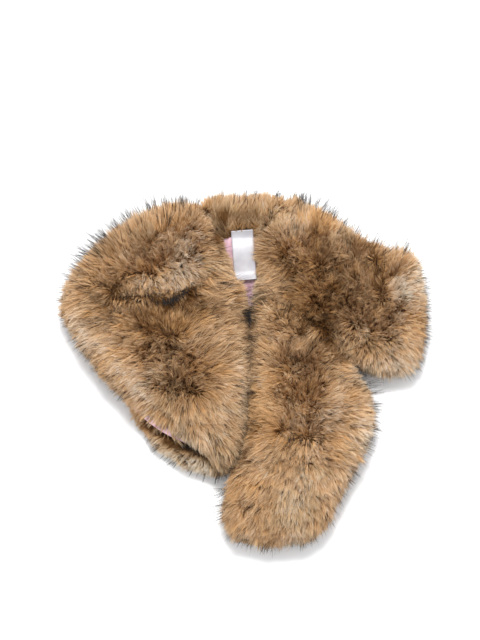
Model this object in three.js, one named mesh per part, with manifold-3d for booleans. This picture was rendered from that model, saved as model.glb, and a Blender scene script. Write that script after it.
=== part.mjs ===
// A fur collar wrap laid flat on a table: a wide strip of deep fur whose left front turns down over its own
// tucked-under end, whose neck shows a scrap of satin lining with a sewn-in label, and whose right front
// spreads to a blunt fold with the front tail hanging below it.
// Millimetres, +Z up. The wrap lies on z = 0; +Y runs from the tail towards the back of the neck. The tables
// below measure x and y from a point in the neck opening's line; the finished group is centred at the end.
import * as THREE from 'three';
import { mergeVertices } from 'three/addons/utils/BufferGeometryUtils.js';
import Module from 'manifold-3d';

const wasm = await Module();
wasm.setup();

// Driving sizes
const SEAM_GAP = 0.35; // between stretches that press against each other
const EDGE_SHARE = 0.42; // the widest level of a roll of fur, as a share of its height
const SIDE_FULLNESS = 0.72; // under 1 the section is fuller than an ellipse
const CROWN_FULLNESS = 0.66;
const UNDERSIDE_ROUNDING = 1.6; // higher is flatter underneath
const CROWN_POINTS = 22; // round the top of a section, edge to edge
const UNDERSIDE_POINTS = 8;
const END_RINGS = 4; // where a stretch rounds off
const LINING_THICK = 1.6;
const LABEL_THICK = 1.0;
const LABEL_WIDTH = 27;
const LABEL_LENGTH = 66;
const MERGE_DISTANCE = 1e-3;
const ABOVE_ALL = 500; // a height that no part of the wrap reaches
const DEGREE = Math.PI / 180;

// Soft locks that stand out all over the fur: distance crest to crest, the way they run, and their rise
const LOCKS = [
  { wave: 47, turn: 24, rise: 1.5 },
  { wave: 34, turn: 83, rise: 1.3 },
  { wave: 27, turn: 141, rise: 1.1 },
];
const LOCK_BEND = 0.9; // how much the rows of locks meander, in radians of their own wave
const LOCK_BEND_LENGTH = 1.7; // the meander's length, as a share of the wave
// The fur's edge waves in and out with its locks
const EDGE_LOCKS = [
  { wave: 38, reach: 1.6 },
  { wave: 24, reach: 1.3 },
];
const EDGE_PHASE = { left: 0.6, right: 2.4 };
const EDGE_LOCK_FADE = 4; // a power: the edge's waves die away quickly towards the crown

// Creases where the strip turns and the fur parts, each from one point to the next
const CREASES = {
  left: [
    { fromX: -176, fromY: 102, toX: -142, toY: 85, deep: 9, wide: 10 },
    { fromX: -142, fromY: 85, toX: -108, toY: 83, deep: 11, wide: 10 },
    { fromX: -108, fromY: 83, toX: -84, toY: 82, deep: 17, wide: 10 },
    { fromX: -84, fromY: 82, toX: -58, toY: 92, deep: 17, wide: 10 },
    { fromX: -58, fromY: 92, toX: -24, toY: 112, deep: 9, wide: 11 },
  ],
  right: [
    { fromX: 155, fromY: 168, toX: 163, toY: 132, deep: 12, wide: 11 },
    { fromX: 163, fromY: 132, toX: 168, toY: 86, deep: 14, wide: 11 },
    { fromX: 92, fromY: 128, toX: 128, toY: 92, deep: 5, wide: 20 },
    { fromX: 92, fromY: 46, toX: 118, toY: 14, deep: 13, wide: 11 },
  ],
  tail: [{ fromX: 92, fromY: 46, toX: 118, toY: 14, deep: 13, wide: 11 }],
};

// Sections of each stretch. `along` runs from x, y in the direction of `heading`; `left` and `right` are how
// far the fur reaches to each side of that line, a left reach being positive towards the left hand. The
// stretch rounds off over startRound and endRound, and between them it has a lofted ring every step or so.
const STRETCHES = {
  leftFront: {
    x: -80, y: 215, heading: -90, startRound: 26, endRound: 30, step: 9, creases: CREASES.left,
    sections: [
      { along: 0, left: 44, right: 26, high: 46 },
      { along: 24, left: 48, right: 58, high: 57 },
      { along: 48, left: 55, right: 88, high: 64 },
      { along: 79, left: 64, right: 115, high: 70 },
      { along: 110, left: 75, right: 135, high: 74 },
      { along: 141, left: 83, right: 140, high: 76 },
      { along: 172, left: 88, right: 124, high: 78 },
      { along: 203, left: 89, right: 102, high: 79 },
      { along: 234, left: 88, right: 77, high: 78 },
      { along: 265, left: 87, right: 45, high: 75 },
      { along: 285, left: 86, right: 15, high: 72 },
      { along: 304, left: 83, right: -15, high: 68 },
      { along: 322, left: 80, right: -36, high: 64 },
      { along: 340, left: 76, right: -44, high: 60 },
    ],
  },
  underlap: {
    x: -141, y: -22, heading: -31, startRound: 22, endRound: 22, step: 11, creases: [],
    sections: [
      { along: 0, left: 30, right: 8, high: 29 },
      { along: 30, left: 36, right: 25, high: 32 },
      { along: 60, left: 36, right: 39, high: 33 },
      { along: 92, left: 36, right: 44, high: 34 },
      { along: 118, left: 34, right: 44, high: 34 },
      { along: 142, left: 34, right: 36, high: 33 },
      { along: 166, left: 34, right: 22, high: 31 },
    ],
  },
  neckBack: {
    x: -84, y: 184, heading: 1, startRound: 22, endRound: 26, step: 11, creases: [],
    sections: [
      { along: 0, left: 18, right: 20, high: 46 },
      { along: 40, left: 28, right: 22, high: 54 },
      { along: 80, left: 32, right: 19, high: 57 },
      { along: 120, left: 31, right: 22, high: 57 },
      { along: 160, left: 23, right: 44, high: 51 },
      { along: 196, left: 0, right: 56, high: 42 },
    ],
  },
  neckInner: {
    x: -4, y: 188, heading: -90, startRound: 14, endRound: 16, step: 11, creases: [],
    sections: [
      { along: 0, left: 34, right: 34, high: 42 },
      { along: 26, left: 36, right: 34, high: 37 },
      { along: 55, left: 34, right: 30, high: 29 },
      { along: 90, left: 30, right: 20, high: 21 },
      { along: 124, left: 22, right: 12, high: 17 },
    ],
  },
  rightFront: {
    x: 17, y: 122, heading: 0, startRound: 24, endRound: 17, step: 8, creases: CREASES.right,
    sections: [
      { along: 0, left: 58, right: 50, high: 48 },
      { along: 20, left: 80, right: 76, high: 57 },
      { along: 43, left: 93, right: 90, high: 61 },
      { along: 68, left: 88, right: 97, high: 63 },
      { along: 91, left: 74, right: 104, high: 64 },
      { along: 115, left: 57, right: 114, high: 64 },
      { along: 139, left: 44, right: 126, high: 63 },
      { along: 163, left: 34, right: 130, high: 63 },
      { along: 183, left: 26, right: 127, high: 62 },
      { along: 196, left: 17, right: 118, high: 60 },
      { along: 206, left: 4, right: 100, high: 57 },
    ],
  },
  frontTail: {
    x: 62, y: 92, heading: -90, startRound: 26, endRound: 30, step: 10, creases: CREASES.tail,
    sections: [
      { along: 0, left: 16, right: 46, high: 56 },
      { along: 28, left: 34, right: 53, high: 60 },
      { along: 54, left: 50, right: 55, high: 62 },
      { along: 80, left: 67, right: 55, high: 64 },
      { along: 104, left: 84, right: 55, high: 66 },
      { along: 130, left: 95, right: 56, high: 68 },
      { along: 156, left: 96, right: 58, high: 69 },
      { along: 180, left: 90, right: 62, high: 70 },
      { along: 206, left: 76, right: 70, high: 70 },
      { along: 232, left: 61, right: 81, high: 69 },
      { along: 258, left: 49, right: 86, high: 67 },
      { along: 284, left: 36, right: 85, high: 63 },
      { along: 307, left: 22, right: 74, high: 58 },
    ],
  },
};

const COLOURS = {
  fur: { color: 0xb08a5c, roughness: 0.95, metalness: 0 },
  furDeep: { color: 0x8d6a44, roughness: 0.95, metalness: 0 },
  satin: { color: 0xe2bcc4, roughness: 0.45, metalness: 0 },
  label: { color: 0xf4f2f4, roughness: 0.6, metalness: 0 },
};

// A column of a table at any distance along, on a smooth curve through its rows
function smooth(rows, column, along) {
  const last = rows.length - 1;
  let i = rows.findIndex((row, n) => n === last || along <= rows[n + 1].along);
  i = Math.min(i, last - 1);
  const slope = (n) => {
    const before = rows[Math.max(n - 1, 0)];
    const after = rows[Math.min(n + 1, last)];
    return (after[column] - before[column]) / (after.along - before.along);
  };
  const span = rows[i + 1].along - rows[i].along;
  const t = (along - rows[i].along) / span;
  const a = rows[i][column];
  const b = rows[i + 1][column];
  return (
    a * (1 + 2 * t) * (1 - t) ** 2 + b * t * t * (3 - 2 * t) +
    span * (slope(i) * t * (1 - t) ** 2 - slope(i + 1) * t * t * (1 - t))
  );
}

function segmentDistance(x, y, { fromX, fromY, toX, toY }) {
  const dx = toX - fromX;
  const dy = toY - fromY;
  const share = ((x - fromX) * dx + (y - fromY) * dy) / (dx * dx + dy * dy);
  const t = Math.min(1, Math.max(0, share));
  return Math.hypot(x - fromX - t * dx, y - fromY - t * dy);
}

// How far the creases pull the fur down at a point: the deepest of them counts, so that segments join
const creaseDepth = (x, y, creases) =>
  creases.reduce((most, crease) => {
    const away = segmentDistance(x, y, crease) / crease.wide;
    return Math.max(most, crease.deep * Math.exp(-away * away));
  }, 0);

const lockRise = (x, y) =>
  LOCKS.reduce((sum, { wave, turn, rise }) => {
    const across = x * Math.cos(turn * DEGREE) + y * Math.sin(turn * DEGREE);
    const bend = LOCK_BEND * Math.sin((x - y) / (LOCK_BEND_LENGTH * wave));
    return sum + rise * Math.sin((2 * Math.PI * across) / wave + bend);
  }, 0);

const edgeReach = (along, phase) =>
  EDGE_LOCKS.reduce((sum, { wave, reach }) => {
    return sum + reach * Math.sin((2 * Math.PI * along) / wave + phase);
  }, 0);

// Distances along a stretch at which it has rings: close together where its ends round off
function ringPlaces(length, startRound, endRound, step) {
  const rounding = (n) => 1 - Math.cos((n / END_RINGS) * 0.5 * Math.PI);
  const places = [];
  for (let n = 1; n <= END_RINGS; n++) places.push(startRound * rounding(n));
  const span = length - startRound - endRound;
  const middle = Math.ceil(span / step);
  for (let n = 1; n < middle; n++) places.push(startRound + (n * span) / middle);
  for (let n = END_RINGS; n >= 1; n--) places.push(length - endRound * rounding(n));
  return places;
}

// A closed roll of fur with a crowned top and a flat underside, lofted through a stretch's sections
function furRoll({ x, y, heading, startRound, endRound, step, creases, sections }) {
  const length = sections.at(-1).along;
  const ahead = [Math.cos(heading * DEGREE), Math.sin(heading * DEGREE)];
  const leftward = [-ahead[1], ahead[0]];
  const onTable = (along, across) => [
    x + along * ahead[0] + across * leftward[0],
    y + along * ahead[1] + across * leftward[1],
  ];
  const middleOf = (along) => (smooth(sections, 'left', along) - smooth(sections, 'right', along)) / 2;
  const points = [];
  const ringSize = CROWN_POINTS + UNDERSIDE_POINTS;
  const places = ringPlaces(length, startRound, endRound, step);
  for (const along of places) {
    const fromEnd = Math.min(1, along / startRound, (length - along) / endRound);
    const swell = Math.sqrt(1 - (1 - fromEnd) ** 2);
    const high = smooth(sections, 'high', along);
    const edge = EDGE_SHARE * high;
    const middle = middleOf(along);
    const half = (smooth(sections, 'left', along) + smooth(sections, 'right', along)) / 2;
    for (let n = 0; n < ringSize; n++) {
      const onCrown = n <= CROWN_POINTS;
      const angle = onCrown
        ? (n / CROWN_POINTS) * Math.PI
        : Math.PI + ((n - CROWN_POINTS) / UNDERSIDE_POINTS) * Math.PI;
      const side = Math.cos(angle);
      const rise = Math.abs(Math.sin(angle));
      const phase = side > 0 ? EDGE_PHASE.left : EDGE_PHASE.right;
      const locks = edgeReach(along, phase) * Math.abs(side) ** EDGE_LOCK_FADE;
      const across = middle + Math.sign(side) * swell * (half * Math.abs(side) ** SIDE_FULLNESS + locks);
      const [px, py] = onTable(along, across);
      let pz = Math.max(0, edge * (1 - UNDERSIDE_ROUNDING * swell * rise));
      if (onCrown) {
        const crown = (swell * rise) ** CROWN_FULLNESS;
        pz = edge + (high - edge) * crown + (lockRise(px, py) - creaseDepth(px, py, creases)) * crown;
      }
      points.push(px, py, pz);
    }
  }
  const rings = places.length;
  const firstEnd = points.length / 3;
  points.push(...onTable(0, middleOf(0)), EDGE_SHARE * sections[0].high);
  const lastEnd = firstEnd + 1;
  points.push(...onTable(length, middleOf(length)), EDGE_SHARE * sections.at(-1).high);
  const faces = [];
  for (let n = 0; n < ringSize; n++) {
    const next = (n + 1) % ringSize;
    faces.push(firstEnd, next, n);
    for (let r = 0; r < rings - 1; r++) {
      const here = r * ringSize;
      const there = here + ringSize;
      faces.push(here + n, here + next, there + next, here + n, there + next, there + n);
    }
    const end = (rings - 1) * ringSize;
    faces.push(lastEnd, end + n, end + next);
  }
  return indexed(points, faces);
}

function indexed(points, faces) {
  const geometry = new THREE.BufferGeometry();
  geometry.setAttribute('position', new THREE.Float32BufferAttribute(points, 3));
  geometry.setIndex(faces);
  return geometry;
}

// The same form, larger all round by the gap that a neighbour keeps from it
function grown(geometry, gap) {
  const larger = geometry.clone();
  larger.computeVertexNormals();
  const position = larger.getAttribute('position');
  const normal = larger.getAttribute('normal');
  for (let n = 0; n < position.count; n++) {
    position.setXYZ(
      n,
      position.getX(n) + gap * normal.getX(n),
      position.getY(n) + gap * normal.getY(n),
      position.getZ(n) + gap * normal.getZ(n),
    );
  }
  return larger;
}

function toSolid(geometry) {
  const plain = geometry.clone();
  plain.deleteAttribute('normal');
  plain.deleteAttribute('uv');
  const merged = mergeVertices(plain, MERGE_DISTANCE);
  return new wasm.Manifold(
    new wasm.Mesh({
      numProp: 3,
      vertProperties: new Float32Array(merged.getAttribute('position').array),
      triVerts: new Uint32Array(merged.index.array),
    }),
  );
}

// A piece less its neighbours, each grown by the gap. Only the main body is kept.
function cutBy(geometry, neighbours) {
  let solid = toSolid(geometry);
  for (const neighbour of neighbours) solid = solid.subtract(toSolid(grown(neighbour, SEAM_GAP)));
  const bodies = solid.decompose().sort((a, b) => b.volume() - a.volume());
  const mesh = bodies[0].getMesh();
  return indexed(Array.from(mesh.vertProperties), Array.from(mesh.triVerts));
}

// A thin panel over a grid of points. `place` gives its underside at shares u and v of its sides.
function panel(columns, rows, thick, place) {
  const points = [];
  for (const lift of [0, thick]) {
    for (let j = 0; j <= rows; j++) {
      for (let i = 0; i <= columns; i++) {
        const [px, py, pz] = place(i / columns, j / rows);
        points.push(px, py, pz + lift);
      }
    }
  }
  const across = columns + 1;
  const layer = across * (rows + 1);
  const faces = [];
  const quad = (a, b, c, d) => faces.push(a, b, c, a, c, d);
  for (let j = 0; j < rows; j++) {
    for (let i = 0; i < columns; i++) {
      const a = j * across + i;
      quad(a, a + across, a + across + 1, a + 1);
      quad(layer + a, layer + a + 1, layer + a + across + 1, layer + a + across);
    }
  }
  for (let i = 0; i < columns; i++) {
    const far = rows * across + i;
    quad(i, i + 1, layer + i + 1, layer + i);
    quad(far + 1, far, layer + far, layer + far + 1);
  }
  for (let j = 0; j < rows; j++) {
    const a = j * across;
    const b = a + columns;
    quad(a + across, a, layer + a, layer + a + across);
    quad(b, b + across, layer + b + across, layer + b);
  }
  return indexed(points, faces);
}

// The highest point of a roll at a place on the table, and 0 beside it
function topOf(geometry) {
  const caster = new THREE.Raycaster();
  const mesh = new THREE.Mesh(geometry, new THREE.MeshBasicMaterial({ side: THREE.DoubleSide }));
  const down = new THREE.Vector3(0, 0, -1);
  return (px, py) => {
    caster.set(new THREE.Vector3(px, py, ABOVE_ALL), down);
    const hits = caster.intersectObject(mesh);
    return hits.length ? hits[0].point.z : 0;
  };
}

// The satin that shows in the neck, lying on the collar's inner side
const LINING = { west: -26, east: 24, north: 180, south: 84, lift: 0.5, columns: 6, rows: 12 };
// The label's sewn end, and how far it leans from straight down
const LABEL_LIFT = LINING.lift + LINING_THICK + 0.6;
const LABEL = { x: 2, y: 176, lean: 5, lift: LABEL_LIFT, curl: 1.6, columns: 4, rows: 10 };
// The hem where the satin shows under the left front's turned-down end
const HEM = {
  fromX: -129, fromY: -42, toX: -62, toY: -86, reach: 7, level: 36.4, bow: 1.5,
  columns: 10, rows: 2,
};

function neckLining(topAt) {
  return panel(LINING.columns, LINING.rows, LINING_THICK, (u, v) => {
    const px = THREE.MathUtils.lerp(LINING.west, LINING.east, u);
    const py = THREE.MathUtils.lerp(LINING.south, LINING.north, v);
    return [px, py, topAt(px, py) + LINING.lift];
  });
}

function label(topAt) {
  const down = [Math.sin(LABEL.lean * DEGREE), -Math.cos(LABEL.lean * DEGREE)];
  const right = [-down[1], down[0]];
  return panel(LABEL.columns, LABEL.rows, LABEL_THICK, (u, v) => {
    const along = (1 - v) * LABEL_LENGTH;
    const across = (u - 0.5) * LABEL_WIDTH;
    const px = LABEL.x + along * down[0] + across * right[0];
    const py = LABEL.y + along * down[1] + across * right[1];
    const curl = LABEL.curl * Math.sin(Math.PI * (1 - v)) * (1 - Math.cos(2 * Math.PI * u)) * 0.5;
    return [px, py, topAt(px, py) + LABEL.lift + curl];
  });
}

// The hem narrows to a blunt tip at each end
const BLUNT = 0.04;

function hemLining() {
  const dx = HEM.toX - HEM.fromX;
  const dy = HEM.toY - HEM.fromY;
  const length = Math.hypot(dx, dy);
  const outward = [dy / length, -dx / length];
  return panel(HEM.columns, HEM.rows, LINING_THICK, (u, v) => {
    const bow = HEM.bow * Math.sin(Math.PI * u);
    const taper = HEM.reach * Math.sqrt(Math.sin(Math.PI * THREE.MathUtils.lerp(BLUNT, 1 - BLUNT, u)));
    const out = bow + (0.5 - v) * 2 * taper;
    return [HEM.fromX + u * dx + out * outward[0], HEM.fromY + u * dy + out * outward[1], HEM.level];
  });
}

const rolls = {};
for (const name in STRETCHES) rolls[name] = furRoll(STRETCHES[name]);
const innerTop = topOf(rolls.neckInner);
const hem = hemLining();
const lining = neckLining(innerTop);
const roundNeck = [rolls.leftFront, rolls.rightFront, rolls.neckBack, rolls.frontTail];

const group = new THREE.Group();
function add(name, geometry, colour) {
  const mesh = new THREE.Mesh(geometry, new THREE.MeshStandardMaterial(colour));
  mesh.name = name;
  group.add(mesh);
}

add('left_front', cutBy(rolls.leftFront, [rolls.underlap, hem]), COLOURS.fur);
add('right_front', rolls.rightFront, COLOURS.fur);
add('front_tail', cutBy(rolls.frontTail, [rolls.rightFront, rolls.leftFront]), COLOURS.fur);
add('left_underlap', cutBy(rolls.underlap, [rolls.frontTail, hem]), COLOURS.furDeep);
add('neck_back', cutBy(rolls.neckBack, [rolls.leftFront, rolls.rightFront]), COLOURS.fur);
add('neck_inner', cutBy(rolls.neckInner, roundNeck), COLOURS.furDeep);
add('neck_lining', cutBy(lining, [...roundNeck, rolls.neckInner]), COLOURS.satin);
add('label', cutBy(label(innerTop), [...roundNeck, rolls.neckInner, lining]), COLOURS.label);
add('hem_lining', hem, COLOURS.satin);

// The origin is on the table, under the middle of the whole wrap
const reach = new THREE.Box3().setFromObject(group);
const middle = reach.getCenter(new THREE.Vector3());
group.position.set(-middle.x, -middle.y, -reach.min.z);

export default group;
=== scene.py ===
# The looks of a fur collar wrap laid flat: undercoat shells with deep pile and dark-tipped guard hairs,
# pale satin at the neck and hem, and a bare woven label. Sizes are in millimetres, in the frame's axes,
# until a mesh is made.
import math

import bpy
import numpy as np
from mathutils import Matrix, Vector
from mathutils.bvhtree import BVHTree
from mathutils.kdtree import KDTree


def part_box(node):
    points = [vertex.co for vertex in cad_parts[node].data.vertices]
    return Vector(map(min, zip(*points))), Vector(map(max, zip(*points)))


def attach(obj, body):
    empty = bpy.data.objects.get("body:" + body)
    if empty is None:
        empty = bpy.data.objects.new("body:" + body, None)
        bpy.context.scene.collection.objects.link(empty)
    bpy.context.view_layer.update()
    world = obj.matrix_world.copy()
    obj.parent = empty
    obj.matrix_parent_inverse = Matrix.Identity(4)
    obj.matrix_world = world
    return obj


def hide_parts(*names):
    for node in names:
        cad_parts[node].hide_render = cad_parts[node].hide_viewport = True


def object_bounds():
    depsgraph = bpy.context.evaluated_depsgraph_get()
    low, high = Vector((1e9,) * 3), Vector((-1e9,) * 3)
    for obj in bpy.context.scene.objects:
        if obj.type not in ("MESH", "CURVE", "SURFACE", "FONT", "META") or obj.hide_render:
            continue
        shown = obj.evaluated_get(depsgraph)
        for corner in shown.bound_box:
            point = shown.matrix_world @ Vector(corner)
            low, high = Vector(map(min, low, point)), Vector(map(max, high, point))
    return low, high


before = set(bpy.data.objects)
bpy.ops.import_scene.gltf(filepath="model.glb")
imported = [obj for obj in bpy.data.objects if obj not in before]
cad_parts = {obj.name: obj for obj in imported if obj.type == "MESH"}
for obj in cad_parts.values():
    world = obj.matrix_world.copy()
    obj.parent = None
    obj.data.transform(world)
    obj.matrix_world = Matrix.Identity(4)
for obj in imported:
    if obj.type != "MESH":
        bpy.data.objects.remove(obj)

cad_low, cad_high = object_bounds()
MM = 0.001
UP = np.array((0.0, 0.0, 1.0))

# The camera, as in the photograph: high, a little in front, with a long lens
PHOTO_MM_PER_PIXEL = 1.2
PHOTO_ROWS = 640
CAMERA_ELEVATION = math.radians(75)
CAMERA_AWAY = 2400
CAMERA_LOOKS_AT = (-2.8, 59.4, 40.0)
CAMERA_CLIP = 20  # metres
SENSOR_MM = 24

# Lines on the table that the pile leans away from, because the fur is rounded highest there or parts there
PARTINGS = {
    "left_lobe": ((-138, 95), (-121, 123), (-100, 144), (-72, 161)),
    "left_lower": ((-100, 45), (-88, 14), (-74, -14)),
    "right_basin": ((90, 126), (107, 97), (122, 64)),
    "right_end": ((157, 153), (164, 110), (169, 66), (162, 23)),
    "tail": ((68, -4), (72, -47), (70, -76)),
    "neck": ((-46, 158), (68, 160)),
    "underlap": ((-112, -37), (-34, -87)),
    "notch": ((-6, 122), (4, 66)),
}

# Each stretch of fur: how deep its pile is, the partings it knows, the record's slot, how many hairs it has
# in its dense pile and in its longer topcoat, how many tufts of guard hairs, its cut in metres as width all
# round and length, how it is held, and the stretches that it only lies against, so that its hairs stop there
STRETCHES = {
    "left_front": {
        "pile": 15, "partings": ("left_lobe", "left_lower"), "slot": "fur",
        "dense": 64000, "topcoat": 42000, "guards": 860, "cut": (0.36, 0.32), "held": "folded",
        "apart": ("front_tail", "left_underlap", "neck_back", "neck_inner", "right_front"),
    },
    "right_front": {
        "pile": 14, "partings": ("right_basin", "right_end", "neck"), "slot": "fur",
        "dense": 54000, "topcoat": 22000, "guards": 500, "cut": (0.3, 0.25), "held": "laid",
        "apart": ("left_front", "neck_inner"),
    },
    "front_tail": {
        "pile": 14, "partings": ("tail", "right_basin"), "slot": "fur",
        "dense": 54000, "topcoat": 24000, "guards": 520, "cut": (0.34, 0.25), "held": "laid",
        "apart": ("left_front", "left_underlap", "neck_inner"),
    },
    "neck_back": {
        "pile": 13, "partings": ("neck",), "slot": "fur",
        "dense": 15000, "topcoat": 5000, "guards": 170, "cut": (0.14, 0.1), "held": "laid",
        "apart": ("left_front", "neck_inner"),
    },
    "left_underlap": {
        "pile": 9, "partings": ("underlap",), "slot": "fur_underlap",
        "dense": 10000, "topcoat": 3000, "guards": 110, "cut": (0.17, 0.15), "held": "folded",
        "apart": ("left_front", "front_tail"),
    },
    "neck_inner": {
        "pile": 4, "partings": ("notch",), "slot": "fur_inner",
        "dense": 3000, "topcoat": 0, "guards": 15, "cut": (0.11, 0.1), "held": "laid",
        "apart": ("left_front", "right_front", "front_tail", "neck_back"),
    },
}

# Lines that the pile is swept by where it lies near them: start, end, reach, and the way and strength
SWEEPS = (
    ((-140, 92), (-64, 100), 14, (-0.1, -0.9)),
    ((122, 16), (200, 22), 20, (0.3, -0.5)),
    ((-24, 174), (70, 178), 13, (0.1, 0.9)),
    ((30, 170), (28, 138), 11, (-0.8, 0.0)),
    ((-10, 108), (-4, 74), 9, (0.6, 0.0)),
    ((24, 92), (20, 74), 9, (-0.6, 0.0)),
)

# Painted shade, where the fur is darker because the eye sees into its depth: place, reach, and how far the
# tone falls
SHADE_ZONES = (
    (-90, 36, 32, 0.26),
    (-111, 0, 19, 0.10),
    (-154, 80, 28, 0.20),
    (-164, 150, 19, 0.30),
    (-50, -34, 28, 0.20),
    (108, 90, 40, 0.24),
    (56, 118, 16, 0.34),
    (106, 143, 18, 0.22),
    (48, 92, 16, 0.16),
)
# Where it is lighter, on the crowns that stand up into the light
PALE_ZONES = (
    (-64, 106, 26, 0.13),
    (-70, 148, 26, 0.10),
    (-63, 28, 14, 0.10),
    (-50, -92, 20, 0.08),
    (60, 186, 22, 0.12),
    (194, 100, 26, 0.18),
    (190, -6, 22, 0.14),
    (72, -62, 34, 0.16),
    (60, -165, 40, 0.05),
)
# Lines of painted shade, along which it is darker in a crease or in the shadow of an edge, or, where the fall
# is below nothing, of painted highlight, lighter along a crown or a rim: start, end, reach and fall
SHADE_AND_HIGHLIGHT_LINES = (
    ((-112, 75), (-88, 72), 7, 0.26),
    ((-88, 72), (-58, 86), 7, 0.26),
    ((-58, 86), (-30, 106), 8, 0.20),
    ((-60, 74), (-28, 68), 15, 0.32),
    ((-183, 66), (-178, 140), 15, 0.16),
    ((-24, 188), (-27, 158), 7, 0.34),
    ((-20, 192), (14, 190), 12, 0.36),
    ((155, 166), (163, 132), 8, 0.24),
    ((163, 132), (168, 70), 8, 0.20),
    ((170, 107), (194, 119), 4, 0.26),
    ((88, 196), (92, 162), 5, 0.20),
    ((6, 74), (10, 58), 10, 0.18),
    ((46, 64), (98, 42), 20, 0.26),
    ((-2, -196), (34, -202), 13, 0.16),
    ((92, 46), (118, 14), 7, 0.20),
    ((124, 10), (160, 22), 12, 0.20),
    ((34, -128), (31, -160), 14, 0.18),
    ((9, 54), (10, -76), 3, 0.14),
    ((10, -76), (1, -107), 3, 0.18),
    ((1, -107), (-17, -132), 4, 0.20),
    ((-114, 98), (-72, 95), 16, -0.18),
    ((-63, 162), (-63, 134), 16, -0.26),
    ((-138, 138), (-108, 162), 13, -0.09),
    ((-8, 96), (0, 74), 9, -0.12),
    ((-206, 48), (-116, -48), 13, -0.20),
    ((180, 122), (198, 84), 13, -0.12),
    ((198, 84), (178, 48), 13, -0.14),
    ((206, -4), (150, -10), 13, -0.16),
    ((156, -46), (150, -84), 12, -0.20),
    ((150, -84), (126, -130), 12, -0.18),
    ((0, -212), (60, -214), 10, -0.22),
)
# Those of one stretch only: in the shadow of another that lies over it, and the rim beyond that shadow
OWN_LINES = {
    "left_front": (((-27, 172), (-23, 142), 6, 0.30),),
    "left_underlap": (
        ((-115, -66), (-84, -88), 9, 0.56),
        ((-84, -88), (-50, -101), 9, 0.56),
        ((-50, -101), (-32, -102), 10, 0.36),
        ((-125, -86), (-95, -110), 9, -0.66),
        ((-95, -110), (-45, -123), 9, -0.72),
    ),
}
GROUND_SHADE = 0.08  # fall of tone in the hairs that hang down to the table
GROUND_REACH = 13
# Where the hair is warmer, or, below nothing, greyer: place, reach and rise
WARM_ZONES = (
    (60, -50, 44, 1.2),
    (90, 176, 16, 0.8),
    (18, -55, 22, 0.6),
    (92, 100, 42, 0.7),
    (-100, 60, 44, 0.8),
    (-92, 192, 24, 0.6),
    (-50, -92, 36, -1.0),
    (-92, -108, 26, -0.1),
    (0, 200, 42, -0.7),
    (66, -155, 38, -0.7),
    (140, -8, 30, -0.8),
    (8, 56, 16, -0.8),
    (-80, -80, 18, -0.6),
    (-190, 80, 30, -0.5),
)

# Lines where the black ends of long hairs meet, on each stretch, and, on the underlap, black locks of painted
# shade under the front's edge: start and end of the line, the number of locks, and the step back from it to
# their roots
BLACK_AND_SHADE_LOCKS = {
    "left_front": (
        ((-114, 74, 71), (-94, 68, 74), 12, (-3, 11, -10)),
        ((-94, 68, 74), (-84, 70, 74), 13, (-1, 11, -10)),
        ((-84, 70, 74), (-73, 77, 73), 13, (1, 11, -9)),
        ((-73, 77, 73), (-56, 83, 73), 11, (2, 11, -9)),
        ((1, 72, 45), (9, 62, 46), 34, (-8, 7, -6)),
        ((8, 62, 46), (11, 48, 46), 17, (-7, 8, -6)),
    ),
    "front_tail": (
        ((52, -99, 76), (56, -100, 76), 3, (1, 9, -9)),
        ((69, -103, 76), (74, -104, 76), 2, (1, 9, -9)),
    ),
    # Under the front's edge: black locks that stand for painted shade there
    "left_underlap": (
        ((-73, -94, 37), (-60, -99, 37), 8, (3, 7, -6)),
        ((-60, -99, 37), (-46, -105, 38), 7, (3, 8, -5)),
    ),
}
# Lines near which no tuft of guard hairs stands, so that the label, the satin, the hem and the parting
# stay clear: start, end and reach
GUARD_FREE = (
    ((-24, 160), (-12, 118), 22),
    ((28, 160), (24, 126), 15),
    ((-122, -46), (-88, -64), 17),
    ((10, 34), (9, -84), 9),
    ((-20, 178), (14, 178), 10),
)
# Lines near which the pile is shorter, so that what lies under it shows, or longer: start, end, reach, and
# times its length
LENGTHS = (
    ((-120, -50), (-88, -74), 9, 0.35),
    ((-14, 172), (14, 174), 10, 0.4),
    ((24, 168), (22, 140), 11, 1.8),
    ((-24, 168), (-22, 150), 8, 1.2),
    ((-18, 136), (-10, 104), 7, 1.3),
    ((-6, 100), (1, 74), 9, 1.6),
    ((22, 104), (16, 74), 9, 1.6),
    ((194, 152), (212, 128), 15, 1.4),
    ((-62, -88), (-30, -108), 10, 1.2),
    ((-44, 210), (62, 212), 14, 1.35),
    ((0, -214), (60, -216), 14, 0.7),
)

VOXEL = 5.5  # of the remeshed forms
SMOOTHING = 5  # rounds of it
UNDER_BELOW = 4  # a form's point that is lower than this and faces down so far rests on the table
UNDER_FACING = -0.4
SEAM_SEARCH = (3, 5)  # a neighbour's surface from so far behind a point to so far before it makes a seam
MOST_SUNK = 0.38  # of a form's thickness, that its undercoat lies below its surface
FLOOR_GAP = 0.6  # that the shells and hairs keep from the table
BACKING = 2.5  # thickness of the shell that holds the pile
LEAN = 0.8  # how far the pile leans over where it lies flattest, against 1 for standing
LEAN_REACH = 52  # distance from a parting at which it does
PARTING_BLUR = 4  # over which the pull of one parting gives way to the next
BOX_ALLOWANCE = np.array((11.0, 10.8, 11.5))  # past the solid model's box, by axis
DROOP = 0.3  # of the hairs that stand out sideways
BLACK_TUFT = 6  # hairs in a black lock
BLACK_ARCH = 3.5  # that they rise over, halfway
BLACK_SCATTER = (1.8, 1.8, 0.6)  # of the locks about their line
BLACK_TIPS = 0.9  # scatter of a lock's tips
BLACK_ROOTS = 1.2  # and of its roots
FIRST_SEED = 100  # of the draws for the first stretch
UV_MAP = "OFBake"
UV_HALF_WIDTH = 0.004  # of one hair on the tone scale
UV_ROWS = 0.25  # the share of the map's height that a hair's length takes
UV_BAND = 0.3  # from one band of the map to the next: greyer hair, plain hair, warmer hair
WAVES = 5  # summed in each soft noise

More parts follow.
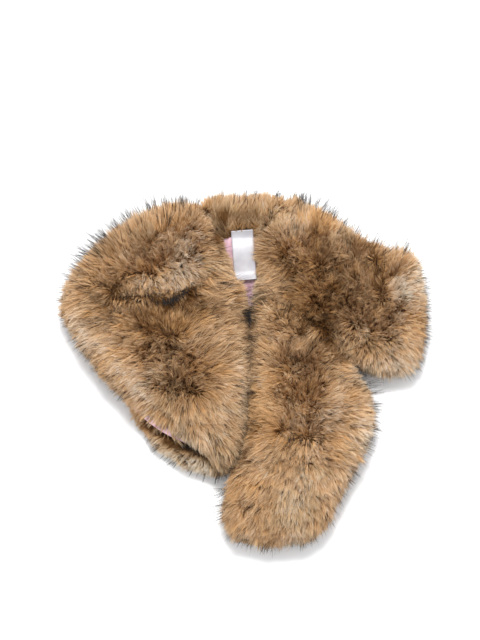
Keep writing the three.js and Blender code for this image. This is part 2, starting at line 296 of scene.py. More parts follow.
# Soft noises, each as strength, wavelength and seed
TONE_NOISES = ((0.06, 70, 31), (0.035, 21, 37))
WARMTH_NOISES = ((0.45, 64, 41), (0.35, 18, 47))
LIE_NOISES = ((0.17, 34, 5), (0.10, 12, 9))
GUARD_LIE_NOISES = ((0.22, 34, 5),)
PLAIN_TONE = 0.53  # before the noises, zones and lines
HAIR_TONES = 0.04  # spread of tone from hair to hair
LOCK_TONES = 0.06  # and from lock to lock
HAIR_WARMTHS = 0.22  # spread of warmth from hair to hair

# Where hair grows, by how far up the skin faces, from -1 for down to 1 for up
BALD_BELOW = -0.5
THINNEST = 0.45  # the share of the hairs that grow there
FULL_FROM = 0.3
RIM_FACING = 0.8  # below which the rim's closer guard hairs begin
RIM_FALL = 0.6  # further down over which they reach their full number
CLEAR_OF_SKIN = 0.6  # where the search for a neighbour that covers the skin starts

# How a hair grows
LEAST_STEEP = 0.5  # share of its length that goes straight out of the skin
LEAST_RISE = 0.3  # of its direction, out of the skin
LOCK_LENGTHS = 0.10  # spread of length from lock to lock
SHORTEST = 2
LONGEST = 2.2  # times the pile
KEPT = 3  # of its length, where another stretch stops it
CURL = 0.45  # how much more upright its first half is
SAG = 0.12  # of its second half
TIP_SPREAD = 0.35  # of a lock's own width that is left at its tips
MIDDLE_PULL = 0.4  # of the pull on the tips, that the middles follow
MIDDLE_SPREAD = 0.8
TURNED = 0.4  # how far the hairs' flat sides turn about
ROOT_WIDTH = 0.7  # of the width halfway
TONE_ENDS = (0.02, 0.98)
HAIR_POINTS = 5  # two at the root, two halfway and the tip
HAIR_CORNERS = (0, 1, 3, 2, 2, 3, 4)  # of its lower quad and its pointed end
HAIR_FACES = (0, 4)  # where the two start among them


# Numbers and small vectors
def unit(vectors):
    return vectors / np.maximum(np.linalg.norm(vectors, axis=-1, keepdims=True), 1e-9)


def along(vectors, others):
    """Dot products, row by row, kept as a column."""
    return (vectors * others).sum(axis=-1, keepdims=True)


def eased(share):
    share = np.clip(share, 0, 1)
    return share * share * (3 - 2 * share)


def soft_noise(points, wavelength, seed):
    """Smooth waves, mostly between -1 and 1, the same at each run."""
    own = np.random.default_rng(seed)
    total = np.zeros(len(points))
    for _ in range(WAVES):
        heading = unit(own.normal(size=3))
        length = wavelength * own.uniform(0.7, 1.4)
        total += np.sin(points @ heading * (2 * np.pi / length) + own.uniform(0, 2 * np.pi))
    return total / math.sqrt(WAVES)


def softly_varied(plain, points, noises):
    """A plain value with soft noises added."""
    values = np.full(len(points), plain)
    for strength, wavelength, seed in noises:
        values += strength * soft_noise(points, wavelength, seed)
    return values


def soft_pushes(points, noises):
    """Soft noises in all three directions."""
    return sum(
        strength * np.stack([soft_noise(points, wavelength, seed + n) for n in range(3)], axis=1)
        for strength, wavelength, seed in noises
    )


def to_segment(points, start, end):
    """From the nearest place on a line on the table to each point: the offsets and the distances."""
    start = np.array(start, float)
    step = np.array(end, float) - start
    share = np.clip((points[:, :2] - start) @ step / (step @ step), 0, 1)
    offsets = points[:, :2] - start - share[:, None] * step
    return offsets, np.linalg.norm(offsets, axis=1)


# Meshes
def read_mesh(mesh):
    """Points in mm, vertex normals, and triangles of a mesh."""
    points = np.empty(len(mesh.vertices) * 3)
    mesh.vertices.foreach_get("co", points)
    normals = np.empty(len(mesh.vertices) * 3, np.float32)
    mesh.vertex_normals.foreach_get("vector", normals)
    mesh.calc_loop_triangles()
    triangles = np.empty(len(mesh.loop_triangles) * 3, np.int32)
    mesh.loop_triangles.foreach_get("vertices", triangles)
    return points.reshape(-1, 3) / MM, normals.reshape(-1, 3).astype(float), triangles.reshape(-1, 3)


def added(name, mesh):
    piece = bpy.data.objects.new(name, mesh)
    bpy.context.scene.collection.objects.link(piece)
    return piece


def mesh_from(name, points, faces):
    mesh = bpy.data.meshes.new(name)
    mesh.from_pydata((points * MM).tolist(), [], faces.tolist())
    return mesh


def remeshed(points, faces):
    """An even, smooth, closed mesh over a form."""
    form = added("form", mesh_from("form", points, faces))
    remesh = form.modifiers.new("remesh", "REMESH")
    remesh.mode = "VOXEL"
    remesh.voxel_size = VOXEL * MM
    smooth = form.modifiers.new("smooth", "SMOOTH")
    smooth.factor = 0.5
    smooth.iterations = SMOOTHING
    shown = form.evaluated_get(bpy.context.evaluated_depsgraph_get())
    result = read_mesh(shown.to_mesh())
    shown.to_mesh_clear()
    mesh = form.data
    bpy.data.objects.remove(form)
    bpy.data.meshes.remove(mesh)
    return result


def tree_over(points, triangles):
    return BVHTree.FromPolygons(points.tolist(), triangles.tolist())


def met(trees, points, directions, back, reach):
    """Which points have one of the trees' surfaces within reach of them, starting a little behind them."""
    found = np.zeros(len(points), bool)
    starts = points - directions * back
    for n, (start, direction) in enumerate(zip(starts.tolist(), directions.tolist())):
        found[n] = any(tree.ray_cast(start, direction, reach + back)[0] is not None for tree in trees)
    return found


# Shells: the backing and undercoat of each stretch, as deep under the fur's surface as its pile is long
def open_surface(forms, solids):
    """For each stretch, which of its form's points are open to the air, and which rest on the table."""
    is_open, is_under = {}, {}
    for name, (points, normals, _) in forms.items():
        others = [tree for other, tree in solids.items() if other != name]
        is_under[name] = (points[:, 2] < UNDER_BELOW) & (normals[:, 2] < UNDER_FACING)
        is_open[name] = ~met(others, points, normals, *SEAM_SEARCH) & ~is_under[name]
    return is_open, is_under


def sunk(name, forms, solids, is_open, is_under, outer, outer_points, outer_normals):
    """The form's points, moved in under the pile. Points at a seam go down along it, so that neighbours stay
    level with each other."""
    pile = STRETCHES[name]["pile"]
    points, normals, _ = forms[name]
    moved = points.copy()
    for n, (point, normal) in enumerate(zip(points, normals)):
        if is_open[name][n]:
            far = solids[name].ray_cast((point - normal).tolist(), (-normal).tolist())[3]
            depth = min(pile, MOST_SUNK * far) if far else pile
            moved[n] = point - normal * depth
            continue
        _, nearest, distance = outer.find(point.tolist())
        away = point - outer_points[nearest]
        if is_under[name][n]:
            away[2] = 0
            distance = np.linalg.norm(away)
            if 0 < distance < pile:
                moved[n] = point + away * (pile / distance - 1)
        elif distance < pile:
            direction = away / distance if distance > 0.5 else -outer_normals[nearest]
            moved[n] = outer_points[nearest] + direction * pile
    moved[:, 2] = np.maximum(moved[:, 2], FLOOR_GAP)
    return moved


def make_undercoats():
    """Points, normals and triangles of every stretch's undercoat."""
    cad = {name: read_mesh(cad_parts[name].data) for name in STRETCHES}
    solids = {name: tree_over(points, triangles) for name, (points, _, triangles) in cad.items()}
    forms = {name: remeshed(points, triangles) for name, (points, _, triangles) in cad.items()}
    is_open, is_under = open_surface(forms, solids)
    outer_points = np.concatenate([forms[name][0][is_open[name]] for name in STRETCHES])
    outer_normals = np.concatenate([forms[name][1][is_open[name]] for name in STRETCHES])
    outer = KDTree(len(outer_points))
    for n, point in enumerate(outer_points.tolist()):
        outer.insert(point, n)
    outer.balance()
    coats = {}
    for name in STRETCHES:
        moved = sunk(name, forms, solids, is_open, is_under, outer, outer_points, outer_normals)
        points, normals, triangles = remeshed(moved, forms[name][2])
        points[:, 2] = np.maximum(points[:, 2], FLOOR_GAP)
        coats[name] = points, normals, triangles
    return coats, solids


def shell(name, coat):
    """The backing that holds the pile, a thin closed wall."""
    mesh = mesh_from(name, coat[0], coat[2])
    mesh.polygons.foreach_set("use_smooth", np.ones(len(mesh.polygons), bool))
    piece = added(name, mesh)
    wall = piece.modifiers.new("backing", "SOLIDIFY")
    wall.thickness = BACKING * MM
    wall.offset = -1
    return piece


# Hairs
def roots_on(coat, neighbours, pile, count, rng, rim=0.0):
    """Places on an undercoat for hairs, strewn where it is open to the air, with the normals there. They are
    evenly strewn, or closer together by rim where it turns down to its edge."""
    points, normals, triangles = coat
    covered = met(neighbours, points, normals, -CLEAR_OF_SKIN, pile)
    weight = np.where(covered | (normals[:, 2] < BALD_BELOW), 0.0, 1.0)
    weight *= np.interp(normals[:, 2], (BALD_BELOW, FULL_FROM), (THINNEST, 1.0))
    weight *= 1 + rim * eased((RIM_FACING - normals[:, 2]) / RIM_FALL)
    a, b, c = (points[triangles[:, n]] for n in range(3))
    area = np.linalg.norm(np.cross(b - a, c - a), axis=1)
    chance = area * weight[triangles].mean(axis=1)
    picked = triangles[rng.choice(len(triangles), count, p=chance / chance.sum())]
    share = rng.dirichlet((1, 1, 1), count)
    return (
        (points[picked] * share[..., None]).sum(axis=1),
        unit((normals[picked] * share[..., None]).sum(axis=1)),
    )


def combed(points, normals, partings):
    """The way the pile lies: out of the skin, and over away from the partings."""
    push = np.zeros((len(points), 2))
    total = np.zeros(len(points))
    near = np.full(len(points), 1e9)
    for line in (PARTINGS[name] for name in partings):
        for start, end in zip(line, line[1:]):
            offsets, distances = to_segment(points, start, end)
            weight = 1 / (distances + PARTING_BLUR) ** 3
            push += offsets * (weight / np.maximum(distances, 1e-6))[:, None]
            total += weight
            near = np.minimum(near, distances)
    flow = np.column_stack((push / total[:, None], np.zeros(len(points))))
    flow -= normals * along(flow, normals)
    lean = LEAN * eased(near / LEAN_REACH)[:, None]
    sideways = 1 - np.abs(normals[:, 2:])
    lie = normals + lean * flow - DROOP * sideways * UP
    for start, end, reach, way in SWEEPS:
        share = np.exp(-((to_segment(points, start, end)[1] / reach) ** 2))
        lie += share[:, None] * np.array((*way, 0.0))
    return lie


def shaded_tone_of(name, points, rng):
    """How light a stretch's hairs are, from 0 for the darkest brown to 1 for pale beige: their own tone, with
    the painted shade and highlight of the zones and lines added.
    """
    tone = softly_varied(PLAIN_TONE, points, TONE_NOISES)
    for x, y, reach, fall in SHADE_ZONES:
        tone -= fall * np.exp(-((points[:, 0] - x) ** 2 + (points[:, 1] - y) ** 2) / reach**2)
    for x, y, reach, rise in PALE_ZONES:
        tone += rise * np.exp(-((points[:, 0] - x) ** 2 + (points[:, 1] - y) ** 2) / reach**2)
    for start, end, reach, fall in (*SHADE_AND_HIGHLIGHT_LINES, *OWN_LINES.get(name, ())):
        tone -= fall * np.exp(-((to_segment(points, start, end)[1] / reach) ** 2))
    tone -= GROUND_SHADE * (1 - eased(points[:, 2] / GROUND_REACH))
    return tone + HAIR_TONES * rng.normal(size=len(points))


def band_of(points, rng):
    """Which band of the map the hairs take their colour from: 0 for greyer, 1 for plain, 2 for warmer."""
    warmth = softly_varied(0.0, points, WARMTH_NOISES)
    for x, y, reach, rise in WARM_ZONES:
        warmth += rise * np.exp(-((points[:, 0] - x) ** 2 + (points[:, 1] - y) ** 2) / reach**2)
    warmth += HAIR_WARMTHS * rng.normal(size=len(points))
    return np.clip(np.round(1 + warmth), 0, 2)


def nearest_of(centres, points):
    tree = KDTree(len(centres))
    for n, centre in enumerate(centres.tolist()):
        tree.insert(centre, n)
    tree.balance()
    return np.fromiter((tree.find(point)[1] for point in points.tolist()), int, len(points))


def strands(name, roots, middles, tips, facing, wide, tone, band):
    """One mesh of curved, tapered hairs: each a strip with its flat side outward, and a pointed end."""
    count = len(roots)
    side = unit(np.cross(tips - roots, facing))
    wide = np.asarray(wide).reshape(-1, 1) * side / 2
    at_root = ROOT_WIDTH * wide
    points = np.stack((roots - at_root, roots + at_root, middles - wide, middles + wide, tips), axis=1)
    points[..., 2] = np.maximum(points[..., 2], FLOOR_GAP)
    corner = np.array(HAIR_CORNERS)
    corners = (np.arange(count)[:, None] * HAIR_POINTS + corner).ravel()
    starts = (np.arange(count)[:, None] * len(corner) + np.array(HAIR_FACES)).ravel()
    mesh = bpy.data.meshes.new(name)
    mesh.vertices.add(HAIR_POINTS * count)
    mesh.loops.add(len(corners))
    mesh.polygons.add(len(starts))
    mesh.vertices.foreach_set("co", (points * MM).ravel())
    mesh.loops.foreach_set("vertex_index", corners.astype(np.int32))
    mesh.polygons.foreach_set("loop_start", starts.astype(np.int32))
    mesh.polygons.foreach_set("use_smooth", np.ones(len(starts), bool))
    across = np.array((-1, 1, -1, 1, 0)) * UV_HALF_WIDTH
    up = np.array((0.01, 0.01, 0.5, 0.5, 0.99)) * UV_ROWS
    tone = np.clip(tone, *TONE_ENDS)
    places = np.stack((tone[:, None] + across, band[:, None] * UV_BAND + up), axis=-1)
    layer = mesh.uv_layers.new(name=UV_MAP)
    layer.data.foreach_set("uv", places[:, corner].ravel())
    mesh.update(calc_edges=True)
    return added(name, mesh)


def length_at(points):
    times = np.ones(len(points))
    for start, end, reach, factor in LENGTHS:
        times *= 1 + (factor - 1) * (1 - eased(to_segment(points, start, end)[1] / reach))
    return times


def room_inside(solid, roots, lie, steep, pile):
    """How far each hair can go before it comes out of the stretch's own form."""
    room = pile / steep
    for n, (root, direction, far) in enumerate(zip(roots.tolist(), lie.tolist(), room.ravel().tolist())):
        distance = solid.ray_cast(root, direction, far)[3]
        if distance is not None:
            room[n] = distance
    return room


def stopped(roots, lie, reach, walls, kept, over):
    """The hairs' reach, cut soon after they go into the stretches that they lie against."""
    cut = reach.copy()
    for n, (root, direction, far) in enumerate(zip(roots.tolist(), lie.tolist(), reach.ravel().tolist())):
        for wall in walls:
            distance = wall.ray_cast(root, direction, far)[3]
            if distance is not None:
                cut[n] = min(cut[n], max(kept, distance + over[n]))
    return cut


def coat_of_hair(name, kind, roots, normals, look, solid, walls, style, rng):
    """Hairs of one length and kind on a stretch, gathered in locks."""
    count = len(roots)
    centres = rng.choice(count, max(1, count // style["lock"]), replace=False)
    lock = nearest_of(roots[centres], roots)
    lie = combed(roots, normals, look["partings"])
    lie += soft_pushes(roots, LIE_NOISES)
    lie += style["lock_tilt"] * rng.normal(size=(len(centres), 3))[lock]
    lie = unit(lie + style["hair_tilt"] * rng.normal(size=(count, 3)))
    steep = np.maximum(along(lie, normals), LEAST_STEEP)
    lie = unit(lie + np.maximum(LEAST_RISE - along(lie, normals), 0) * normals)
    reach = room_inside(solid, roots, lie, steep[:, 0], look["pile"]) * style["reach"] + style["extra"]
    uneven = 1 + style["uneven"] * rng.uniform(-1, 1, count)
    reach *= uneven + LOCK_LENGTHS * rng.normal(size=len(centres))[lock]
    reach *= length_at(roots + lie * reach[:, None])
    longest = LONGEST * look["pile"] * style["reach"] + style["extra"]
    reach = np.clip(reach, SHORTEST, longest)[:, None]
    reach = stopped(roots, lie, reach, walls, KEPT, rng.uniform(0, style["over"], count))
    first = unit(lie + CURL * normals)
    second = unit(2 * lie - first - SAG * UP)
    middles = roots + first * reach * 0.5
    tips = middles + second * reach * 0.5
    spread = roots - roots[centres][lock]
    pull = style["pull"] * rng.uniform(0.6, 1.2, (count, 1))
    tips += pull * (tips[centres][lock] + TIP_SPREAD * spread - tips)
    middles += MIDDLE_PULL * pull * (middles[centres][lock] + MIDDLE_SPREAD * spread - middles)
    facing = unit(normals + TURNED * rng.normal(size=(count, 3)))
    tone = shaded_tone_of(name, tips, rng) + LOCK_TONES * rng.normal(size=len(centres))[lock]
    wide = style["wide"] * rng.uniform(0.75, 1.25, count)
    band = band_of(roots[centres], rng)[lock]
    return strands(f"{name}_{kind}", roots, middles, tips, facing, wide, tone, band)


def share_in_box(start, tips):
    """The share of each hair's length that keeps it near enough to the solid model's box."""
    low = np.array(cad_low) / MM - BOX_ALLOWANCE
    high = np.array(cad_high) / MM + BOX_ALLOWANCE
    step = tips - start
    room = np.where(step > 0, high - start, low - start)
    return np.clip(room / np.where(np.abs(step) < 1e-6, 1e-6, step), 0, 1).min(axis=1, keepdims=True)


def guard_hairs(name, middle, normals, look, solid, walls, locks, style, rng):
    """Long black-tipped hairs in small tufts that stand out past the pile, and the black locks."""
    clear = np.ones(len(middle), bool)
    for start, end, reach in GUARD_FREE:
        clear &= to_segment(middle, start, end)[1] > reach
    middle, normals = middle[clear], normals[clear]
    tufts = len(middle)
    lie = unit(combed(middle, normals, look["partings"]) + soft_pushes(middle, GUARD_LIE_NOISES))
    lie = unit(lie + style["rise"] * normals)
    owner = np.repeat(np.arange(tufts), style["tuft"])
    count = len(owner)
    start = middle[owner] + style["tuft_reach"] * rng.normal(size=(count, 3))
    lie = unit(lie[owner] + style["hair_tilt"] * rng.normal(size=(count, 3)))
    steep = np.maximum(along(lie, normals[owner]), style["steep"])[:, 0]
    past = rng.uniform(*style["past"], tufts)[owner] * rng.uniform(0.6, 1.1, count)
    past *= np.interp(normals[owner, 1], *GUARDS_BY_FACING)
    reach = room_inside(solid, start, lie, steep, look["pile"]) + past
    reach *= length_at(start + lie * reach[:, None])
    over = rng.uniform(0, style["over"], count)
    reach = stopped(start, lie, reach[:, None], walls, style["kept"], over)
    first = unit(lie + style["curl"] * normals[owner])
    second = unit(2 * lie - first)
    middles = start + first * reach * 0.5
    tips = middles + second * reach * 0.5
    inside = share_in_box(start, tips)
    middles = start + inside * (middles - start)
    tips = start + inside * (tips - start)
    facing = unit(normals[owner] + 0.3 * rng.normal(size=(count, 3)))
    tone = rng.uniform(0.05, 0.95, tufts)[owner]
    more_start, more_middles, more_tips = locks
    start, middles, tips = (
        np.concatenate(pair) for pair in ((start, more_start), (middles, more_middles), (tips, more_tips))
    )
    more = len(more_start)
    facing = np.concatenate((facing, np.tile(UP, (more, 1))))
    tone = np.concatenate((tone, rng.uniform(0.05, 0.7, more)))
    wide = style["wide"] * rng.uniform(0.8, 1.2, len(start))
    return strands(name, start, middles, tips, facing, wide, tone, np.zeros(len(start)))


DENSE = {
    "lock": 6, "lock_tilt": 0.16, "hair_tilt": 0.1, "reach": 0.97, "extra": 0.3,
    "uneven": 0.14, "pull": 0.4, "wide": 0.8, "over": 1.5,
}
TOPCOAT = {
    "lock": 7, "lock_tilt": 0.17, "hair_tilt": 0.07, "reach": 1.06, "extra": 2.0,
    "uneven": 0.18, "pull": 0.55, "wide": 0.6, "over": 3.0,
}
GUARDS = {
    "tuft": 4, "tuft_reach": 2.0, "hair_tilt": 0.1, "rise": 0.25, "steep": 0.6, "curl": 0.3,
    "past": (10, 25), "wide": 0.48, "rim": 3.0, "kept": 6, "over": 7.0,
}
# How far round to the neck's side the guard hairs face, and times their length there
GUARDS_BY_FACING = ((-0.6, 0.0, 0.6), (0.5, 0.9, 1.5))


def black_and_shade_locks(name, rng):
    """Starts, middles and ends of the hairs whose black ends meet where the fur parts deepest, and of the
    black locks of painted shade under an edge.
    """
    starts, tips = np.zeros((0, 3)), np.zeros((0, 3))
    for start, end, number, back in BLACK_AND_SHADE_LOCKS.get(name, ()):
        share = rng.uniform(0, 1, (number, 1))
        on_line = np.array(start) + share * (np.array(end) - start)
        lock = on_line + BLACK_SCATTER * rng.normal(size=(number, 3))
        ends = np.repeat(lock, BLACK_TUFT, axis=0)
        ends = ends + BLACK_TIPS * rng.normal(size=ends.shape)
        steps = np.array(back) * rng.uniform(0.7, 1.2, (len(ends), 1))
        steps += BLACK_ROOTS * rng.normal(size=ends.shape)
        tips = np.concatenate((tips, ends))
        starts = np.concatenate((starts, ends + steps))
    return starts, (starts + tips) / 2 + BLACK_ARCH * UP, tips


# Finishes
def colour(text):
    """A linear colour from its usual six hexadecimal figures."""
    parts = (int(text[n:n + 2], 16) / 255 for n in (0, 2, 4))
    return (*(c / 12.92 if c <= 0.04045 else ((c + 0.055) / 1.055) ** 2.4 for c in parts), 1.0)


def finish(name, roughness, specular, sheen=0.0):
    made = bpy.data.materials.new(name)
    made.use_nodes = True
    shader = made.node_tree.nodes["Principled BSDF"]
    shader.inputs["Roughness"].default_value = roughness
    shader.inputs["Specular IOR Level"].default_value = specular
    shader.inputs["Sheen Weight"].default_value = sheen
    return made, made.node_tree, shader


def ramp(tree, factor, stops):
    """Colours at places from 0 to 1, blended between."""
    node = tree.nodes.new("ShaderNodeValToRGB")
    node.color_ramp.interpolation = "EASE"
    elements = node.color_ramp.elements
    while len(elements) < len(stops):
        elements.new(0.5)
    for element, (place, text) in zip(elements, stops):
        element.position = place
        element.color = colour(text)
    tree.links.new(factor, node.inputs["Fac"])
    return node.outputs["Color"]


def between(tree, value, low, high):
    """How far value has come from low to high, from 0 to 1, eased."""
    node = tree.nodes.new("ShaderNodeMapRange")
    node.interpolation_type = "SMOOTHSTEP"
    node.inputs["From Min"].default_value = low
    node.inputs["From Max"].default_value = high
    tree.links.new(value, node.inputs["Value"])
    return node.outputs["Result"]


def blended(tree, share, first, second, kind="MIX"):
    """Two colours blended by a share, or wholly if there is none."""
    node = tree.nodes.new("ShaderNodeMix")
    node.data_type = "RGBA"
    node.blend_type = kind
    node.inputs[0].default_value = 1
    for socket, value in ((0, share), (6, first), (7, second)):
        if value is not None:
            tree.links.new(value, node.inputs[socket])
    return node.outputs[2]


def noise(tree, millimetres, detail=4, stretch=(1, 1, 1)):
    """A noise over the piece whose features are about so many millimetres long."""
    place = tree.nodes.new("ShaderNodeTexCoord")
    scaled = tree.nodes.new("ShaderNodeVectorMath")
    scaled.operation = "MULTIPLY"
    scaled.inputs[1].default_value = [s / (millimetres * MM) for s in stretch]
    node = tree.nodes.new("ShaderNodeTexNoise")
    node.inputs["Scale"].default_value = 1
    node.inputs["Detail"].default_value = detail
    tree.links.new(place.outputs["Object"], scaled.inputs[0])
    tree.links.new(scaled.outputs[0], node.inputs["Vector"])
    return node.outputs["Fac"]


def bump(tree, shader, height, millimetres):
    node = tree.nodes.new("ShaderNodeBump")
    node.inputs["Distance"].default_value = millimetres * MM
    tree.links.new(height, node.inputs["Height"])
    tree.links.new(node.outputs["Normal"], shader.inputs["Normal"])


def worked(tree, operation, first, second):
    """A sum done on a value: second is a number, or another value."""
    node = tree.nodes.new("ShaderNodeMath")
    node.operation = operation
    tree.links.new(first, node.inputs[0])
    if isinstance(second, float):
        node.inputs[1].default_value = second
    else:
        tree.links.new(second, node.inputs[1])
    return node.outputs[0]


def hair_finish(name, roots, middles, tips, halfway=0.5):
    """Hair whose colour runs from root to tip, at a tone, which carries painted shade and highlight, and a
    warmth that each hair has of its own.
    """
    made, tree, shader = finish(name, 0.55, 0.22)
    placed = tree.nodes.new("ShaderNodeUVMap")
    placed.uv_map = UV_MAP
    parts = tree.nodes.new("ShaderNodeSeparateXYZ")
    tree.links.new(placed.outputs["UV"], parts.inputs["Vector"])
    tone = parts.outputs["X"]
    length = worked(tree, "MODULO", parts.outputs["Y"], UV_BAND)
    warmth = worked(tree, "MULTIPLY", worked(tree, "SUBTRACT", parts.outputs["Y"], length), 0.5 / UV_BAND)
    lower = blended(
        tree, between(tree, length, 0.05 * UV_ROWS, halfway * UV_ROWS),
        ramp(tree, tone, roots), ramp(tree, tone, middles),
    )
    whole = blended(
        tree, between(tree, length, halfway * UV_ROWS, 0.95 * UV_ROWS), lower, ramp(tree, tone, tips)
    )
    tint = ramp(tree, warmth, TINTS)
    tinted = blended(tree, None, whole, tint, "MULTIPLY")
    tree.links.new(tinted, shader.inputs["Base Color"])
    return made


def undercoat_finish(name, dark, light):
    made, tree, shader = finish(name, 0.95, 0.1)
    fine = noise(tree, 2.2)
    tree.links.new(ramp(tree, fine, ((0.3, dark), (0.7, light))), shader.inputs["Base Color"])
    bump(tree, shader, fine, 1.5)
    return made


def satin_finish(name, base, shade, sheen):
    """Satin: fine ribs of warp under a soft sheen, with faint creases."""
    made, tree, shader = finish(name, 0.38, 0.5, sheen)
    soft = noise(tree, 14, 2)
    tree.links.new(ramp(tree, soft, ((0.3, shade), (0.7, base))), shader.inputs["Base Color"])
    bump(tree, shader, noise(tree, 0.6, 2, (1, 0.12, 1)), 0.15)
    return made


TINTS = ((0.0, "e9edf1"), (0.5, "f0edeb"), (1.0, "f3e9d8"))
FUR = hair_finish(
    "fur_pile",
    ((0.1, "3c250e"), (0.5, "735130"), (0.9, "9a774e")),
    ((0.1, "714c26"), (0.5, "c49969"), (0.9, "e4c39a")),
    ((0.1, "7c5833"), (0.5, "dfbd94"), (0.9, "efe4d2")),
)
# Darker fur of the notch between the stretches: pressed fur, with painted shade where the parts meet
INNER_FUR_SHADED = hair_finish(
    "fur_pressed_and_shaded",
    ((0.1, "2b1c11"), (0.9, "4a3524")),
    ((0.1, "3f2c1c"), (0.9, "7a5b3d")),
    ((0.1, "4b3524"), (0.9, "9c7850")),
)
GUARD = hair_finish(
    "fur_guard",
    ((0.1, "6e5032"), (0.9, "9a7750")),
    ((0.1, "1d1713"), (0.9, "3d3026")),
    ((0.1, "0a0a0b"), (0.9, "1c1a19")),
    halfway=0.45,
)
UNDERCOAT = undercoat_finish("fur_undercoat", "3a2819", "6b4e32")
SATIN = satin_finish("pink_satin", "d3b1bb", "bd939f", 0.3)
LABEL_FINISH = satin_finish("label_weave", "bab8bb", "adabb0", 0.05)

FINISH_OF_SLOT = {"fur": FUR, "fur_underlap": FUR, "fur_inner": INNER_FUR_SHADED}


def finished(piece, made, slot, *nodes):
    piece.data.materials.append(made)
    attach(piece, "root")
    if nodes:
        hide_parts(*nodes)
    return piece


# Fur
def make_fur():
    coats, solids = make_undercoats()
    walls = {name: tree_over(points, triangles) for name, (points, _, triangles) in coats.items()}
    for number, (name, look) in enumerate(STRETCHES.items()):
        rng = np.random.default_rng(FIRST_SEED + number)
        neighbours = [tree for other, tree in walls.items() if other != name]
        backing = finished(shell(name + "_backing", coats[name]), UNDERCOAT, look["slot"], name)
        apart = [solids[other] for other in look["apart"]]
        for kind, style in (("dense", DENSE), ("topcoat", TOPCOAT)):
            if look[kind]:
                roots, normals = roots_on(coats[name], neighbours, look["pile"], look[kind], rng)
                piece = coat_of_hair(name, kind, roots, normals, look, solids[name], apart, style, rng)
                finished(piece, FINISH_OF_SLOT[look["slot"]], look["slot"])
        roots, normals = roots_on(coats[name], neighbours, look["pile"], look["guards"], rng, GUARDS["rim"])
        locks = black_and_shade_locks(name, rng)
        piece = guard_hairs(f"{name}_guards", roots, normals, look, solids[name], apart, locks, GUARDS, rng)
        finished(piece, GUARD, look["slot"])


# Satin and label
def sheet_piece(name, columns, rows, thick, place):
    """A thin sheet through the points that place gives at shares of its width and length."""
    shares = [(i / columns, j / rows) for j in range(rows + 1) for i in range(columns + 1)]
    points = np.array([place(u, v) for u, v in shares])
    wide = columns + 1
    faces = [
        (j * wide + i, j * wide + i + 1, (j + 1) * wide + i + 1, (j + 1) * wide + i)
        for j in range(rows) for i in range(columns)
    ]
    mesh = mesh_from(name, points, np.array(faces))
    mesh.polygons.foreach_set("use_smooth", np.ones(len(mesh.polygons), bool))
    piece = added(name, mesh)
    wall = piece.modifiers.new("cloth", "SOLIDIFY")
    wall.thickness = thick * MM
    wall.offset = 0
    return piece


def node_tree(name):
    points, _, triangles = read_mesh(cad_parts[name].data)
    return tree_over(points, triangles)


HIGH_ABOVE = 500
ROW_STEP = 0.4


def height_over(tree, x, y):
    hit = tree.ray_cast((x, y, HIGH_ABOVE), (0, 0, -1))[0]
    return hit.z if hit else None


def row_limits(tree, y, low, high):
    """The leftmost and rightmost places where a node lies under a line across the table."""
    found = [x for x in np.arange(low, high, ROW_STEP) if height_over(tree, x, y) is not None]
    return found[0] + ROW_STEP / 2, found[-1] - ROW_STEP / 2


LINING_EDGE = 0.3  # left free at each end of the node
LINING_PUCKER = 0.4
LINING_SUNK = 0.5  # below the node's surface
LINING_LEVEL = 30


def make_lining():
    node = node_tree("neck_lining")
    low, high = (np.array(corner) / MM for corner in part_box("neck_lining"))

    def on_lining(u, v):
        y = low[1] + LINING_EDGE + v * (high[1] - low[1] - 2 * LINING_EDGE)
        west, east = row_limits(node, y, low[0], high[0])
        x = west + u * (east - west)
        pucker = LINING_PUCKER * math.sin(0.9 * x + 0.25 * y) * math.sin(0.35 * y)
        level = height_over(node, x, y) or node.find_nearest((x, y, LINING_LEVEL))[0].z
        return x, y, level - LINING_SUNK + pucker

    lining = sheet_piece("neck_lining_satin", columns=24, rows=48, thick=0.7, place=on_lining)
    finished(lining, SATIN, "satin", "neck_lining")


LABEL_TOP = (-0.4, 169.6)
LABEL_LEAN = math.radians(4.4)
LABEL_WIDE = 26.5
LABEL_LONG = 58.5
LABEL_SEAM = 11  # length over which its upper end turns up, where it is sewn in
LABEL_RISE = 6.8  # of that end
LABEL_LIFT = 0.4  # over the node's surface
LABEL_PROBES = (7, 3, 2)  # where they start, how far before the lower end they stop, and from one to the next
LABEL_PROBE_SIDE = 3  # beside the middle line
LABEL_CURVE = 4  # degree of the curve through them
LABEL_CURL = 1.6  # of the corner at its lower end, over the last fifth
LABEL_CURL_FROM = 0.8
LABEL_CURL_SHARE = 0.2
LABEL_WAVE = 0.3


def make_label():
    node = node_tree("label")
    down = np.array((math.sin(LABEL_LEAN), -math.cos(LABEL_LEAN)))
    across = np.array((math.cos(LABEL_LEAN), math.sin(LABEL_LEAN)))
    first, spare, step = LABEL_PROBES
    lengths = np.arange(first, LABEL_LONG - spare, step)
    probes = [LABEL_TOP + far * down + LABEL_PROBE_SIDE * across for far in lengths]
    curve = np.polyfit(lengths, [height_over(node, *probe) for probe in probes], LABEL_CURVE)

    def on_label(u, v):
        far = v * LABEL_LONG
        x, y = LABEL_TOP + far * down + (u - 0.5) * LABEL_WIDE * across
        level = np.polyval(curve, max(far, first))
        turned_up = LABEL_RISE * max(0, 1 - far / LABEL_SEAM) ** 2
        end = LABEL_CURL * max(0, v - LABEL_CURL_FROM) / LABEL_CURL_SHARE * (0.3 + 0.7 * u)
        wave = LABEL_WAVE * math.sin(7 * v + 2 * u)
        return x, y, level + LABEL_LIFT + turned_up + end + wave

    label = sheet_piece("label_ribbon", columns=14, rows=60, thick=0.45, place=on_label)
    finished(label, LABEL_FINISH, "label", "label")


HEM_INSET = 1  # of its ends from the node's box
HEM_HALF_WIDTH = 6.4
HEM_BOW = 1.5  # outward, halfway along
HEM_PUCKER = 0.35
HEM_DROP = 0.5  # of its outer edge


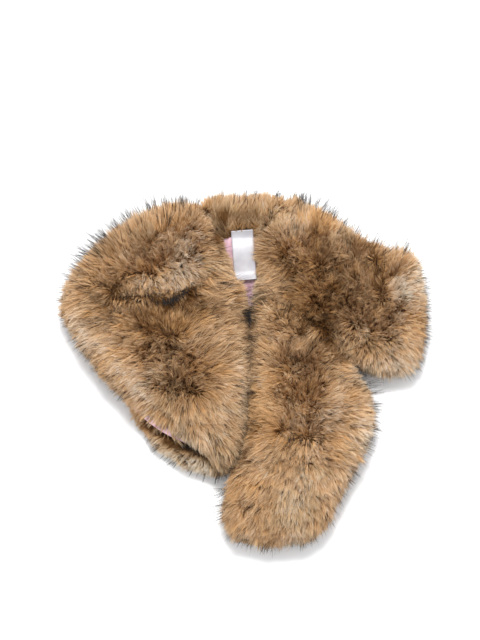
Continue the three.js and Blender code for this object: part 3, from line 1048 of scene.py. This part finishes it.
def make_hem():
    low, high = (np.array(corner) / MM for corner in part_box("hem_lining"))
    start = np.array((low[0] + HEM_INSET, high[1] - 2 * HEM_INSET))
    end = np.array((high[0] - 2 * HEM_INSET, low[1] + HEM_INSET))
    run = end - start
    length = np.linalg.norm(run)
    outward = np.array((run[1], -run[0])) / length
    level = (low[2] + high[2]) / 2

    def on_hem(u, v):
        taper = HEM_HALF_WIDTH * math.sqrt(math.sin(math.pi * (0.04 + 0.92 * u)))
        out = HEM_BOW * math.sin(math.pi * u) + (2 * v - 1) * taper
        pucker = HEM_PUCKER * math.sin(52 * u) * v
        x, y = start + u * run + out * outward
        return x, y, level + pucker - HEM_DROP * v * v

    hem = sheet_piece("hem_lining_satin", columns=60, rows=8, thick=0.9, place=on_hem)
    finished(hem, SATIN, "satin", "hem_lining")


# Stage, light and camera
FLOOR_HALF = 3.0  # metres
FLOOR_WHITE = (0.94, 0.94, 0.94, 1)
WORLD_WHITE = (0.97, 0.98, 1.0, 1)
WORLD_STRENGTH = 0.84
LAMP_AWAY = 2500
# Each lamp's width in metres, watts, azimuth from the front and elevation
LAMPS = {
    "key": (0.6, 60, 184, 71),
    "overhead": (2.0, 12, 0, 80),
}


def make_stage():
    mesh = bpy.data.meshes.new("floor")
    corners = [(x * FLOOR_HALF, y * FLOOR_HALF, 0) for x, y in ((-1, -1), (1, -1), (1, 1), (-1, 1))]
    mesh.from_pydata(corners, [], [(0, 1, 2, 3)])
    floor = added("floor", mesh)
    made, _, shader = finish("floor_white", 0.8, 0.1)
    shader.inputs["Base Color"].default_value = FLOOR_WHITE
    mesh.materials.append(made)


def lamp(name, size, power, azimuth, elevation):
    data = bpy.data.lights.new(name, "AREA")
    data.size = size
    data.energy = power
    placed = added(name, data)
    back = Vector((
        math.sin(azimuth) * math.cos(elevation), -math.cos(azimuth) * math.cos(elevation), math.sin(elevation)
    ))
    placed.location = back * LAMP_AWAY * MM
    placed.rotation_euler = back.to_track_quat("Z", "Y").to_euler()


def make_light():
    world = bpy.data.worlds.new("studio")
    world.use_nodes = True
    world.node_tree.nodes["Background"].inputs["Color"].default_value = WORLD_WHITE
    world.node_tree.nodes["Background"].inputs["Strength"].default_value = WORLD_STRENGTH
    bpy.context.scene.world = world
    for name, (size, power, azimuth, elevation) in LAMPS.items():
        lamp(name, size, power, math.radians(azimuth), math.radians(elevation))
    bpy.context.scene.view_settings.view_transform = "Standard"


def make_camera():
    data = bpy.data.cameras.new("camera")
    data.sensor_fit = "VERTICAL"
    data.sensor_height = SENSOR_MM
    data.lens = SENSOR_MM * CAMERA_AWAY / (PHOTO_ROWS * PHOTO_MM_PER_PIXEL)
    data.clip_end = CAMERA_CLIP
    camera = added("camera", data)
    back = Vector((0, -math.cos(CAMERA_ELEVATION), math.sin(CAMERA_ELEVATION)))
    camera.location = (Vector(CAMERA_LOOKS_AT) + back * CAMERA_AWAY) * MM
    camera.rotation_euler = back.to_track_quat("Z", "Y").to_euler()
    bpy.context.scene.camera = camera


make_camera()
make_fur()
make_lining()
make_label()
make_hem()
make_stage()
make_light()
